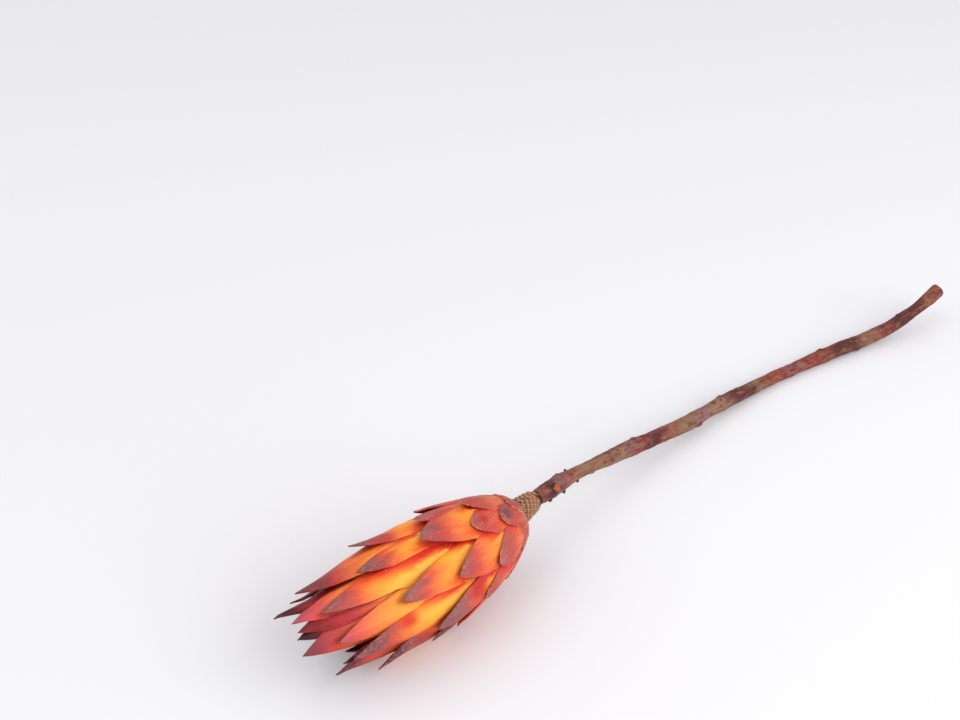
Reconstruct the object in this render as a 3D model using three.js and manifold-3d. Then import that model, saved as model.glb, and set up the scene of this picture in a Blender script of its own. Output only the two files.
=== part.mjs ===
// A dried and dyed sugarbush protea flower lying on its side: a closed head of pointed bracts,
// a short neck of small scales and a long woody stem. Millimetres, +Z up, +X from head to cut end.
import * as THREE from "three";
import { mergeVertices } from "three/addons/utils/BufferGeometryUtils.js";
import Module from "manifold-3d";

// Driving dimensions of the bloom. Its axis is a slightly bent line from the neck to the mouth,
// and its outline is turned round that line.
const bloomLength = 94;
const bloomBase = new THREE.Vector3(-76.3, -4.5, 22.4);
const bloomBend = new THREE.Vector3(-122.7, -8.2, 19.2);
const bloomMouth = new THREE.Vector3(-169.7, -4.5, 18.3);
const rootRadius = 5;
const bellyAt = 44;
const bellyRadius = 20.9;
const mouthRadius = 12.5;
const baseFullness = 0.62;
const mouthCurve = 1.6;

// The bracts stand in one spiral. Each is a turn further round than the last, and its tip reaches
// further from the neck: pairs of a bract's number and its reach.
const bractCount = 62;
const firstTurn = 210.8;
const spiralTurn = 138.151;
const reachMarks = [[0, 4.4], [17, 33.6], [28, 52.1], [39, 83.2], [50, 91.9], [61, 93]];
// How many bracts have ended before a place along the bloom: pairs of the place and the number.
const endedMarks = [[4.4, 0], [33.6, 17], [52.1, 28], [83.2, 39], [98, 61]];
// Bracts that stand out of the spiral: number, mm of extra reach, degrees turned, mm lifted, and
// for some how many times wider and how many places higher in the overlap.
const strays = [
  [3, 0, 0, -0.7], [4, -1.5, 0, -0.8], [6, -1, 10, 0], [8, 0, 0, -0.9], [9, 2, -2, 0.3],
  [14, -3, -5, 0], [16, 0, 0, -0.8], [17, 0, 14, -0.2], [19, 2.5, -10, 0], [21, 0, -8, -0.7],
  [22, -2, 9, 0.4], [24, 7, -19, 0], [25, -4, 8, -0.5],
  [27, -6, 13, 0.5, 1.2, 8], [29, -1, -5, 0], [30, 6, -3, 3, 1.1], [32, -3, 1, 0.3, 0.9],
  [34, 4.5, 22, 2.5, 1.2], [35, -4, -5, 0.5, 0.95], [37, 3, -6, 0], [38, -7, 8, -0.5],
  [39, -4, 0, -1.5], [40, 0.5, 7, 0, 0.9], [41, -4, 0, -1], [42, 1, 4, 0, 1.15],
  [43, 0.5, -1, 1.8, 1.5, 8], [44, -10, 0, -2.5], [45, -4.5, -6, 0], [46, -6, 0, -2.5],
  [47, -13, 6, -2.5], [48, 3, -8, 0, 1.05], [49, -10, 0, -3.5], [50, -9, -12, 0], [51, -4, 0, 0],
  [52, -15, 0, -3], [53, 1, 5, 0, 1.05], [54, -9, 0, -4], [55, -12, -8, 0], [56, 4, 0, 0, 1.2],
  [57, -13, 0, -4], [58, 2, 2, 0, 1.15], [59, -7, 0, -3], [60, -17, 10, -3], [61, 1, -28, 0, 1.1],
];
// Bract sizes from the neck to the mouth: full width, length of the taper and bluntness of the tip.
const bractWidth = [11.5, 15, 13.5, 12.5, 11.5];
const bractTaper = [7, 14, 20, 24, 25];
const bractBluntness = [0.5, 0.6, 0.75, 0.85, 0.88];
const tipThickness = 0.9;
const rootThickness = 3.2;
const thickeningLength = 16;
const tipHalfWidth = 0.45;
const taperCurve = 1.5;
const longestBract = 50;
const lengthShare = 0.6;
const coveredLength = 2;
const firstRootAt = 0.6;
// How the bracts lie on each other: each later one a little lower, edges tucked in, tips lifted.
const layerStep = 0.16;
const edgeTuck = 0.7;
const tipLift = 0.8;
const liftLength = 16;
const fullLiftReach = 40;
const leastRadius = 1.2;
const bractRings = [0, 0.08, 0.22, 0.45, 0.75, 1];
const bractColumns = [-1, -0.4, 0.4, 1];
// The innermost bracts close the mouth. They are shorter and step inwards faster than the rest.
const innerCount = 12;
const innerStep = 0.85;
const innerReach = 81;
const innerShortening = 0.4;
const innerNarrowing = 0.55;
const innerLean = -2.5;
// The head that the bracts grow from, inside them.
const headDepth = 2.3;
const headSlope = 6;
const headTipRadius = 0.8;
const headShoulder = 58;
const headTop = 72;
const headSides = 24;
const headRings = 14;

// Driving dimensions of the neck, which goes on from the bloom's base along a bent line.
const jointGap = 0.3;
const neckLength = 11.5;
const neckTopRadius = 4.4;
const neckEndRadius = 2.75;
const neckCurve = 0.5;
const neckSides = 16;
const neckRings = 5;
const scaleCount = 38;
const scaleLength = 4.2;
const scaleWidth = 3.5;
const scaleLift = 0.5;
const scaleRoot = 0.6;
const scaleDepth = 1.6;
const scaleShares = [0, 0.55, 1];
const scaleShape = [0.7, 1, 0.25];
const scaleRootNarrowing = 0.86;
const firstScaleRoot = 0.97;
const scaleSpan = 0.9;

// Driving dimensions of the stem, from the neck to the cut end.
const stemPath = [
  [-65, -2, 20.9], [-50, 1.3, 17.9], [-40, 3, 15.8], [-28, 4.2, 13.2], [-8, 5.4, 9.5],
  [18, 5.2, 6.1], [42, 6.5, 4.5], [60, 6.5, 3.3], [77, 5.8, 2.6], [94, 4, 2.55], [109, 1.8, 3.1],
  [122, -0.9, 3.6], [138, -3.7, 5.6], [152, -5.2, 9.3], [166, -5.6, 13.9],
];
const stemSides = 12;
const stemSteps = 66;
// The stem's radius at places along it in mm: knobby where leaves grew, thinner between.
const stemRadii = [
  [0, 2.75], [4, 3.05], [8, 3.3], [14, 3.4], [19, 2.8], [26, 2.45], [36, 2.35], [46, 2.9], [58, 3.3],
  [68, 2.9], [82, 2.95], [92, 3.3], [99, 2.6], [108, 3], [116, 2.95], [126, 2.6], [152, 2.65],
  [168, 2.95], [198, 2.9], [206, 2.7], [212, 3], [218, 2.5], [224, 2.7],
];
// Leaf scars: place along the stem in mm, and the side in degrees that each faces.
const stemScars = [
  [14, 60], [32, 190], [46, -30], [58, 20], [74, 110], [92, -110], [108, 10], [127, 150],
  [149, -70], [168, 60], [186, 200], [201, -30], [212, 100],
];
const scarRadius = 1.9;
const scarDepth = 1.1;
const scarLength = 1;
// A bud and dry stubs near the neck: place along the stem, side in degrees, radius, length.
const stubs = [
  [8, 52, 2.1, 1.5], [14.5, 140, 0.9, 1.6], [6, 140, 1, 1.5], [19.5, -40, 0.7, 1.4], [23, 130, 0.8, 1.3],
];
const stubRoot = 0.6;
const knobSides = 7;
const knobRings = 5;

const tableSize = 400;
const sliverSize = 0.02;
const goldenPart = 0.618034;
const wasm = await Module();
wasm.setup();

// An uneven but fixed share from 0 to 1 for each number.
function uneven(number) {
  return (number * goldenPart) % 1;
}

function clamp01(x) {
  return Math.min(1, Math.max(0, x));
}

// The value at x on straight lines through pairs of x and value, running on past both ends.
function along(marks, x) {
  let k = 1;
  while (k < marks.length - 1 && x > marks[k][0]) k += 1;
  const [[x0, y0], [x1, y1]] = [marks[k - 1], marks[k]];
  return y0 + ((y1 - y0) * (x - x0)) / (x1 - x0);
}

// The value at a share from 0 to 1 of a list of equally spaced values.
function blend(values, share) {
  const marks = values.map((value, k) => [k / (values.length - 1), value]);
  return along(marks, clamp01(share));
}

// A place on a line and the three directions there: ahead, up and aside.
function frameAt(at, ahead) {
  const aside = new THREE.Vector3().crossVectors(ahead, new THREE.Vector3(0, 0, 1)).normalize();
  const up = new THREE.Vector3().crossVectors(aside, ahead);
  return { at, ahead, up, aside };
}

// The point beside a line at an angle from its up direction, in radians.
function beside(frame, angle, distance) {
  return frame.at.clone()
    .addScaledVector(frame.up, Math.cos(angle) * distance)
    .addScaledVector(frame.aside, Math.sin(angle) * distance);
}

// A closed solid through rings of points. Both faces of a flat ring are split alike.
function loft(rings) {
  const size = rings[0].length;
  const points = rings.flat();
  const faces = [];
  const quad = (a, b, c, d, turned) => {
    faces.push(...(turned ? [a, d, b, b, d, c] : [a, c, b, a, d, c]));
  };
  for (let r = 0; r + 1 < rings.length; r += 1) {
    for (let k = 0; k < size; k += 1) {
      const next = (k + 1) % size;
      const turned = k >= size / 2;
      quad(r * size + k, r * size + next, (r + 1) * size + next, (r + 1) * size + k, turned);
    }
  }
  const last = (rings.length - 1) * size;
  for (let k = 0; k + 1 < size / 2; k += 1) {
    const far = size - 1 - k;
    quad(far, far - 1, k + 1, k, false);
    quad(last + k, last + k + 1, last + far - 1, last + far, false);
  }
  const geometry = new THREE.BufferGeometry();
  geometry.setAttribute("position", new THREE.Float32BufferAttribute(points.flatMap((p) => p.toArray()), 3));
  geometry.setIndex(faces);
  return geometry;
}

// A ring of points round a line, at a radius.
function roundRing(frame, radius, sides) {
  return Array.from({ length: sides }, (_, k) => beside(frame, (-2 * Math.PI * k) / sides, radius));
}

function toSolid(geometry) {
  const bare = geometry.clone();
  bare.deleteAttribute("normal");
  bare.deleteAttribute("uv");
  const merged = mergeVertices(bare);
  const mesh = new wasm.Mesh({
    numProp: 3,
    vertProperties: new Float32Array(merged.attributes.position.array),
    triVerts: new Uint32Array(merged.index.array),
  });
  return new wasm.Manifold(mesh);
}

// Solids joined in one, with sealed hollows filled, loose scraps dropped and slivers smoothed out.
function fuse(solids) {
  const joined = solids.reduce((whole, solid) => whole.add(solid));
  return joined.decompose().sort((a, b) => b.volume() - a.volume())[0].simplify(sliverSize);
}

// A solid pressed flat where it lies on the table.
function rested(solid) {
  const above = new THREE.BoxGeometry(tableSize, tableSize, tableSize).translate(0, 0, tableSize / 2);
  return fuse([solid.intersect(toSolid(above))]);
}

function toMesh(name, solid, material) {
  const { vertProperties, triVerts } = solid.getMesh();
  const geometry = new THREE.BufferGeometry();
  geometry.setAttribute("position", new THREE.Float32BufferAttribute(vertProperties, 3));
  geometry.setIndex(new THREE.Uint32BufferAttribute(triVerts, 1));
  geometry.computeVertexNormals();
  const mesh = new THREE.Mesh(geometry, material);
  mesh.name = name;
  return mesh;
}

// The bloom's outline: a rounded base, a belly, and a slow curve in to the mouth.
function bloomRadius(s) {
  if (s < bellyAt) {
    const short = clamp01((bellyAt - s) / bellyAt);
    return rootRadius + (bellyRadius - rootRadius) * (1 - short * short) ** baseFullness;
  }
  const past = (s - bellyAt) / (bloomLength - bellyAt);
  return bellyRadius - (bellyRadius - mouthRadius) * past ** mouthCurve;
}

const bloomAxis = new THREE.QuadraticBezierCurve3(bloomBase, bloomBend, bloomMouth);

function bloomFrame(s) {
  const share = s / bloomLength;
  const bend = bloomBend.clone().lerp(bloomMouth, share).sub(bloomBase.clone().lerp(bloomBend, share));
  return frameAt(bloomAxis.getPoint(share), bend.normalize());
}

const reachOf = (number) => along(reachMarks, number);
const endedAt = (s) => along(endedMarks, s);

// One bract of the spiral, with its own sizes.
function bract(number) {
  const stray = strays.find(([which]) => which === number) ?? [number, 0, 0, 0];
  const [, longer, turned, lifted, wider = 1, raised = 0] = stray;
  const inner = Math.max(0, number - bractCount + 1);
  const reach = inner ? innerReach - inner * innerShortening : reachOf(number) + longer;
  const share = reach / bloomLength;
  const shrink = 1 - (innerNarrowing * inner) / innerCount;
  return {
    layer: number - raised,
    reach,
    sunk: inner * innerStep,
    turn: THREE.MathUtils.degToRad(firstTurn + spiralTurn * number + turned),
    halfWidth: (blend(bractWidth, share) / 2) * shrink * wider,
    taper: blend(bractTaper, share),
    bluntness: blend(bractBluntness, share),
    lift: inner ? innerLean : lifted + tipLift * uneven(number) * clamp01(reach / fullLiftReach),
    length: Math.min(reach - firstRootAt, reach * lengthShare + coveredLength, longestBract),
  };
}

// A point of a bract, back from its tip in mm and across it from -1 to 1.
function bractPoint(b, back, across, thickness) {
  const s = b.reach - back;
  const open = 1 - (1 - clamp01(back / b.taper)) ** taperCurve;
  const half = Math.max(tipHalfWidth, b.halfWidth * open ** b.bluntness);
  const covered = layerStep * Math.max(0, b.layer - endedAt(s)) + b.sunk;
  const tuck = (edgeTuck * across * across * half) / b.halfWidth;
  const lift = b.lift * (1 - clamp01(back / liftLength)) ** 2;
  const radius = Math.max(leastRadius, bloomRadius(s) - covered - tuck + lift - thickness);
  const angle = b.turn + (across * half) / Math.max(radius, b.halfWidth);
  return beside(bloomFrame(s), angle, radius);
}

function bractSolid(number) {
  const b = bract(number);
  const rings = bractRings.map((share) => {
    const back = share * b.length;
    const thickness = blend([tipThickness, rootThickness], back / thickeningLength);
    const outside = bractColumns.map((across) => bractPoint(b, back, across, 0));
    const inside = bractColumns.map((across) => bractPoint(b, back, across, thickness));
    return [...outside, ...inside.reverse()];
  });
  return toSolid(loft(rings));
}

// The head inside the bracts: under the outline, and domed over inside the mouth.
function headSolid() {
  const rings = Array.from({ length: headRings + 1 }, (_, k) => {
    const s = headTop * Math.sin((k / headRings) * (Math.PI / 2));
    const dome = clamp01((s - headShoulder) / (headTop - headShoulder));
    const side = bloomRadius(Math.min(s, headShoulder)) - headDepth * clamp01(s / headSlope);
    return roundRing(bloomFrame(s), Math.max(headTipRadius, side * Math.sqrt(1 - dome * dome)), headSides);
  });
  return toSolid(loft(rings));
}

function bloom() {
  const numbers = Array.from({ length: bractCount + innerCount }, (_, k) => k);
  const material = new THREE.MeshStandardMaterial({ color: 0xe8623a, roughness: 0.5, metalness: 0 });
  return toMesh("bloom", rested(fuse([headSolid(), ...numbers.map(bractSolid)])), material);
}

// The neck goes on from the bloom's base to the stem, along a line bent between their directions.
const stemCurve = new THREE.CatmullRomCurve3(stemPath.map((p) => new THREE.Vector3(...p)));
const bloomAhead = bloomAxis.getTangent(0).normalize();
const neckStart = bloomBase.clone().addScaledVector(bloomAhead, -jointGap);
const stemAhead = stemCurve.getTangent(0).normalize();
const neckEnd = new THREE.Vector3(...stemPath[0]).addScaledVector(stemAhead, -jointGap);
const neckAxis = new THREE.CubicBezierCurve3(
  neckStart,
  neckStart.clone().addScaledVector(bloomAhead, -neckLength / 3),
  neckEnd.clone().addScaledVector(stemAhead, -neckLength / 3),
  neckEnd,
);

function neckFrame(share) {
  return frameAt(neckAxis.getPoint(clamp01(share)), neckAxis.getTangent(clamp01(share)).normalize());
}

function neckRadius(share) {
  return neckTopRadius + (neckEndRadius - neckTopRadius) * clamp01(share) ** neckCurve;
}

// One small scale of the neck, pointing to the bloom, its root sunk in the cone.
function scaleSolid(number) {
  const root = firstScaleRoot - (scaleSpan * number) / scaleCount;
  const turn = THREE.MathUtils.degToRad(spiralTurn * number);
  const rings = scaleShares.map((share, k) => {
    const place = root - (share * scaleLength) / neckLength;
    const frame = neckFrame(place);
    const cone = neckRadius(place);
    const radius = cone - scaleRoot + (scaleRoot + scaleLift) * share;
    const half = (scaleWidth * scaleShape[k]) / 2 / radius;
    return [
      beside(frame, turn - half, radius),
      beside(frame, turn + half, radius),
      beside(frame, turn + half * scaleRootNarrowing, cone - scaleDepth),
      beside(frame, turn - half * scaleRootNarrowing, cone - scaleDepth),
    ];
  });
  return toSolid(loft(rings));
}

function neck() {
  const rings = Array.from({ length: neckRings + 1 }, (_, k) => {
    const share = k / neckRings;
    return roundRing(neckFrame(share), neckRadius(share), neckSides);
  });
  const scales = Array.from({ length: scaleCount }, (_, k) => scaleSolid(k));
  const material = new THREE.MeshStandardMaterial({ color: 0xa5764a, roughness: 0.8, metalness: 0 });
  return toMesh("neck_scales", fuse([toSolid(loft(rings)), ...scales]), material);
}

const stemLength = stemCurve.getLength();

const stemRadiusAt = (s) => along(stemRadii, s);

function stemFrame(s) {
  const share = clamp01(s / stemLength);
  return frameAt(stemCurve.getPointAt(share), stemCurve.getTangentAt(share).normalize());
}

// A leaf scar: a low lens-shaped boss across the stem.
function scarSolid([place, side]) {
  const frame = stemFrame(place);
  const angle = THREE.MathUtils.degToRad(side);
  const centre = beside(frame, angle, stemRadiusAt(place) - scarDepth / 2);
  const out = beside(frame, angle, 1).sub(frame.at);
  const across = new THREE.Vector3().crossVectors(frame.ahead, out);
  const boss = new THREE.SphereGeometry(1, knobSides, knobRings).scale(scarLength, scarDepth, scarRadius);
  boss.applyMatrix4(new THREE.Matrix4().makeBasis(frame.ahead, out, across));
  return toSolid(boss.translate(...centre.toArray()));
}

// A bud or a dry stub: a rounded knob that stands out of the stem.
function stubSolid([place, side, radius, length]) {
  const frame = stemFrame(place);
  const angle = THREE.MathUtils.degToRad(side);
  const out = beside(frame, angle, 1).sub(frame.at);
  const knob = new THREE.SphereGeometry(radius, knobSides, knobRings);
  knob.scale(1, length / radius, 1);
  knob.applyQuaternion(new THREE.Quaternion().setFromUnitVectors(new THREE.Vector3(0, 1, 0), out));
  return toSolid(knob.translate(...beside(frame, angle, stemRadiusAt(place) - stubRoot).toArray()));
}

function stem() {
  const rings = Array.from({ length: stemSteps + 1 }, (_, k) => {
    const s = (k / stemSteps) * stemLength;
    return roundRing(stemFrame(s), stemRadiusAt(s), stemSides);
  });
  const whole = fuse([toSolid(loft(rings)), ...stemScars.map(scarSolid), ...stubs.map(stubSolid)]);
  const material = new THREE.MeshStandardMaterial({ color: 0x8a4a40, roughness: 0.75, metalness: 0 });
  return toMesh("stem", rested(whole), material);
}

const flower = new THREE.Group();
flower.name = "protea_flower";
flower.add(bloom(), neck(), stem());

// The origin is on the table, under the middle of the whole flower.
const middle = new THREE.Box3().setFromObject(flower).getCenter(new THREE.Vector3());
flower.position.set(-middle.x, -middle.y, 0);

export default flower;
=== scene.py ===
import math
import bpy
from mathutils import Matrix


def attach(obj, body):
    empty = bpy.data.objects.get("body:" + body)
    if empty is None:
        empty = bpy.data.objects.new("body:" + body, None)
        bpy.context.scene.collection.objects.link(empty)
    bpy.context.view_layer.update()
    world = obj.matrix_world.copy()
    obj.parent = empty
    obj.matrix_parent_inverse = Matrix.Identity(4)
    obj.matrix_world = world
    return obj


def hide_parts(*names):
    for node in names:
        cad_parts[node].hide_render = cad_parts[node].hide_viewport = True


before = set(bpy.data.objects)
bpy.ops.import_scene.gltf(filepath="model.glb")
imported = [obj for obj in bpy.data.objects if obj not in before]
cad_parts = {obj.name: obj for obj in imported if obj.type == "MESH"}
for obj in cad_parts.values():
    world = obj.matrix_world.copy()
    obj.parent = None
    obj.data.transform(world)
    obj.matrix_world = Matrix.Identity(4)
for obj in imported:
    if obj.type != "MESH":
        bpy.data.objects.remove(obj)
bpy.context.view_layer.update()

from types import SimpleNamespace

import bmesh
import bpy
from mathutils import Matrix, Vector, noise

# The bracts, the stiff leaves of the dried bloom. They follow the outline of a woody head turned
# round a slightly bent line: rounded at the base, fullest at the belly, closing slowly to the mouth.
# Places are in mm, and to_origin brings them under the middle of the part's own box.
mm = 0.001
to_origin = Vector((2.5129, 6.3585, 0))
bloom_length = 94
bloom_base = Vector((-76.3, -4.5, 22.4))
bloom_bend = Vector((-122.7, -8.2, 19.2))
bloom_mouth = Vector((-169.7, -4.5, 18.3))
root_radius = 5
belly_at = 44
belly_radius = 20.9
mouth_radius = 12.5
base_fullness = 0.62
mouth_curve = 1.6
table_gap = 0.02


def clamp01(x):
    return min(1, max(0, x))


def along(marks, x):
    """The value at x on straight lines through pairs of x and value, running on past both ends."""
    k = 1
    while k < len(marks) - 1 and x > marks[k][0]:
        k += 1
    (x0, y0), (x1, y1) = marks[k - 1], marks[k]
    return y0 + (y1 - y0) * (x - x0) / (x1 - x0)


def blend(values, share):
    """The value at a share from 0 to 1 of equally spaced values."""
    last = len(values) - 1
    return along([(k / last, value) for k, value in enumerate(values)], clamp01(share))


def uneven(number, step=0.618034):
    """An uneven but fixed share from 0 to 1 for each number; another step gives another set."""
    return (number * step) % 1


def frame_at(at, ahead):
    """A place on a line and the three directions there."""
    ahead = ahead.normalized()
    aside = ahead.cross(Vector((0, 0, 1))).normalized()
    return SimpleNamespace(at=at, ahead=ahead, up=aside.cross(ahead), aside=aside)


def beside(line, angle, distance):
    """The point beside a line, at an angle from its up direction."""
    return line.at + (line.up * math.cos(angle) + line.aside * math.sin(angle)) * distance


def bloom_radius(s):
    """The bloom's radius this many mm from its base."""
    if s < belly_at:
        short = clamp01((belly_at - s) / belly_at)
        return root_radius + (belly_radius - root_radius) * (1 - short * short) ** base_fullness
    past = (s - belly_at) / (bloom_length - belly_at)
    return belly_radius - (belly_radius - mouth_radius) * past ** mouth_curve


def bloom_frame(s):
    """The bloom's line this many mm from its base."""
    share = s / bloom_length
    near = bloom_base.lerp(bloom_bend, share)
    far = bloom_bend.lerp(bloom_mouth, share)
    return frame_at(near.lerp(far, share), far - near)


def set_down(point):
    """A point in mm brought to the part's own frame, in metres, and kept above the table."""
    placed = point + to_origin
    placed.z = max(placed.z, table_gap)
    return placed * mm


def made_object(name, mesh, materials):
    """An object of a finished bmesh."""
    data = bpy.data.meshes.new(name)
    mesh.to_mesh(data)
    mesh.free()
    for material in materials:
        data.materials.append(material)
    data.shade_smooth()
    made = bpy.data.objects.new(name, data)
    bpy.context.scene.collection.objects.link(made)
    return made


def made_piece(name, mesh, materials):
    """A piece of the flower, riding on its one body."""
    piece = made_object(name, mesh, materials)
    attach(piece, "root")
    return piece


def keep_rims_crisp(mesh):
    """Leaves the rims of smooth sheets sharp, for when the sheets get their thickness."""
    for edge in mesh.edges:
        edge.smooth = not edge.is_boundary


def add_wall(piece, name, thickness, inner_material=0):
    """Gives a piece of sheets its thickness, grown inwards."""
    wall = piece.modifiers.new(name, "SOLIDIFY")
    wall.thickness = thickness * mm
    wall.offset = -1
    wall.material_offset = inner_material


# The bracts' dye and what shows through it. Dried bracts are dyed yellow and orange where they
# were covered, red in the open, and turn grey-mauve and dry at their tips. They are a little glossy.
class Shade:
    """A value, colour or vector in a material. Sums and products on values add the nodes for them."""

    def __init__(self, tree, socket=None):
        self.tree = tree
        self.socket = socket

    def node(self, kind, inputs=(), out=0, stops=(), **settings):
        """A new node with its settings, a ramp's stops, and the values or links of its sockets."""
        made = self.tree.nodes.new(kind)
        for name, setting in settings.items():
            setattr(made, name, setting)
        for k, (place, colour) in enumerate(stops):
            elements = made.color_ramp.elements
            stop = elements[k] if k < 2 else elements.new(place)
            stop.position = place
            stop.color = colour
        for name, value in dict(inputs).items():
            if isinstance(value, Shade):
                self.tree.links.new(value.socket, made.inputs[name])
            else:
                made.inputs[name].default_value = value
        return Shade(self.tree, made.outputs[out])

    def math(self, operation, *values):
        return self.node("ShaderNodeMath", enumerate(values), operation=operation)

    def __add__(self, other):
        return self.math("ADD", self, other)

    def __radd__(self, other):
        return self.math("ADD", other, self)

    def __sub__(self, other):
        return self.math("SUBTRACT", self, other)

    def __rsub__(self, other):
        return self.math("SUBTRACT", other, self)

    def __mul__(self, other):
        return self.math("MULTIPLY", self, other)

    def __rmul__(self, other):
        return self.math("MULTIPLY", other, self)

    def rise(self, low, high):
        """From 0 to 1 as the value goes smoothly from low to high, or down where low is the larger."""
        inputs = {0: self, 1: low, 2: high, 3: 0.0, 4: 1.0}
        return self.node("ShaderNodeMapRange", inputs, interpolation_type="SMOOTHSTEP")

    def attribute(self, name):
        return self.node("ShaderNodeAttribute", out=1, attribute_name=name)

    def object_place(self):
        return self.node("ShaderNodeTexCoord", out=3)

    def parts(self):
        split = self.node("ShaderNodeSeparateXYZ", {0: self}).socket.node
        return [Shade(self.tree, output) for output in split.outputs]

    def stretched(self, x, y, z):
        return self.node("ShaderNodeVectorMath", {0: self, 1: (x, y, z)}, operation="MULTIPLY")

    def mottle(self, scale, detail=3.0, roughness=0.55, distortion=0.0):
        """Cloudy noise from 0 to 1 at this place."""
        inputs = {"Vector": self, "Scale": scale, "Detail": detail, "Roughness": roughness,
                  "Distortion": distortion}
        return self.node("ShaderNodeTexNoise", inputs)

    def dots(self, scale):
        """The distance to the nearest of many scattered points."""
        return self.node("ShaderNodeTexVoronoi", {"Vector": self, "Scale": scale, "Randomness": 1.0})

    def over(self, below, colour):
        """A colour laid over another, as much as this mask says."""
        inputs = {0: self, 6: below, 7: colour}
        return self.node("ShaderNodeMix", inputs, out=2, data_type="RGBA")

    def ramp(self, stops):
        """The colour at this value, between stops of value and colour."""
        return self.node("ShaderNodeValToRGB", {0: self}, stops=stops)

    def times(self, colour, amount):
        """A colour made darker or lighter by a value."""
        grey = self.node("ShaderNodeCombineXYZ", {0: amount, 1: amount, 2: amount})
        return self.node("ShaderNodeVectorMath", {0: colour, 1: grey}, operation="MULTIPLY")

    def bump(self, height, depth):
        """A surface raised by a value, this many mm at most."""
        return self.node("ShaderNodeBump", {"Height": height, "Distance": depth * mm, "Strength": 1.0})


def tint(hex_colour):
    """A colour from its usual six digits, as the shaders want it."""
    shares = [int(hex_colour[k:k + 2], 16) / 255 for k in (0, 2, 4)]
    return [((c + 0.055) / 1.055) ** 2.4 if c > 0.04045 else c / 12.92 for c in shares] + [1.0]


def new_finish(name, **constants):
    """A material, a shade to start its nodes from, and its shader."""
    material = bpy.data.materials.new(name)
    material.use_nodes = True
    tree = material.node_tree
    shader = tree.nodes["Principled BSDF"]
    for socket, value in constants.items():
        shader.inputs[socket.replace("_", " ")].default_value = value
    return material, Shade(tree), shader


def wire(start, shader, **values):
    """Links what changes over a surface to its shader."""
    for socket, value in values.items():
        start.tree.links.new(value.socket, shader.inputs[socket.replace("_", " ")])


# The sheet attribute holds mm across a bract, mm back from its tip and the bract's number times
# sheet_step, which keeps the bracts' patterns apart.
sheet_step = 10
mouth_dye_from = 39.5
mouth_dye_full = 45.5
# Single patches of colour: the bract's number, mm across it, mm back from its tip, width and colour.
colour_patches = [
    (14, 0.3, 5.5, 2.6, "b4242a"), (6, 0.5, 3.8, 3.2, "66303f"), (24, 3, 19, 6, "b8201e"),
    (29, 0, 6, 6, "4e2630"), (30, -2.5, 11, 6, "b23c38"), (34, 0, 18, 9, "9a2a26"),
    (34, 2, 6, 8, "4c1119"), (37, 5, 20.5, 5, "cc2810"), (42, 2.5, 5, 5, "5c1220"),
    (50, 0, 10, 9, "8c0e16"), (50, 0, 1, 5, "2a0c10"), (61, 0, 2, 8, "240a10"),
]
patch_core = 0.2

dyed_face, start, shader = new_finish("dyed_bract_face", Specular_IOR_Level=0.28)
sheet = start.attribute("sheet")
place, gap, rim = start.attribute("cover").parts()
height, luck, side = start.attribute("growth").parts()
warmth, redness, dusk = start.attribute("tone").parts()
under = start.attribute("lean").parts()[0]
streaks = sheet.stretched(0.85, 0.11, 1).mottle(0.9, detail=4.0, roughness=0.6)
cloud = sheet.stretched(0.3, 0.065, 1).mottle(1.0, detail=2.0, distortion=0.2)
haze = sheet.stretched(0.26, 0.09, 3).mottle(1.0, detail=2.0)
grain = sheet.stretched(1.6, 0.5, 1).mottle(1.4, detail=4.0, roughness=0.7)
speck = sheet.mottle(0.9, detail=2.0, roughness=0.5)

# How far a place is from the dry tip, made uneven so that no two bracts change colour alike.
fade = place + warmth - side * 0.07 + (cloud - 0.5) * 0.36 + (luck - 0.5) * 0.12 + (streaks - 0.5) * 0.2
# The colours from there to where it was covered: of middle bracts, of those at the base, and of
# light and dark ones at the mouth.
middle = fade.ramp([
    (0.0, tint("8c5650")), (0.1, tint("9a5654")), (0.22, tint("ae5046")), (0.36, tint("dc583a")),
    (0.5, tint("f57a36")), (0.66, tint("fd9630")), (0.84, tint("ffa834")), (1.0, tint("ffb640"))])
base = fade.ramp([
    (0.0, tint("a65c50")), (0.08, tint("b05040")), (0.2, tint("b84b3a")), (0.36, tint("cc5a40")),
    (0.56, tint("e27844")), (1.0, tint("f2944a"))])
coral = fade.ramp([
    (0.0, tint("a2545e")), (0.1, tint("b44c56")), (0.25, tint("cc5050")), (0.42, tint("e25e4a")),
    (0.6, tint("f27a42")), (0.8, tint("fc923a")), (1.0, tint("ffa338"))])
crimson = fade.ramp([
    (0.0, tint("22060b")), (0.1, tint("520c18")), (0.28, tint("8e1824")), (0.48, tint("b42c32")),
    (0.75, tint("dc5a3c")), (1.0, tint("f88a38"))])
mouth = dusk.rise(0.15, 0.85).over(coral, crimson)
at_mouth = sheet.parts()[2].rise(mouth_dye_from * sheet_step, mouth_dye_full * sheet_step)
colour = height.rise(0.30, 0.48).over(base, middle)
colour = at_mouth.over(colour, mouth)

# Red on one side of many bracts, partly dye and partly painted shade on their lower side, and painted red
# shade along the edges of the bracts that cover them.
dye_and_shade_side = side.rise(0.35, -0.7) * place.rise(0.95, 0.25) * cloud.rise(0.30, 0.62) * redness
colour = dye_and_shade_side.over(colour, tint("c42a2e"))
# Painted shade: red-orange in the crevices beside the covering edges, most on the side below them.
crevice_distance = gap + (haze - 0.5) * 2.4 + (streaks - 0.5) * 1.6
painted_crevice_shade = crevice_distance.rise(6.6, 1.0) * height.rise(0.12, 0.4) * (0.15 + under * 0.85) * (1 - at_mouth * 0.8)
colour = painted_crevice_shade.over(colour, tint("e03a0e"))
# Painted shade: deeper red below the covering edges of the redder bracts.
painted_red_shade = crevice_distance.rise(5.5, 1.5) * under * redness.rise(0.6, 0.95) * height.rise(0.8, 0.55)
colour = painted_red_shade.over(colour, tint("cf2a30"))
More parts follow.
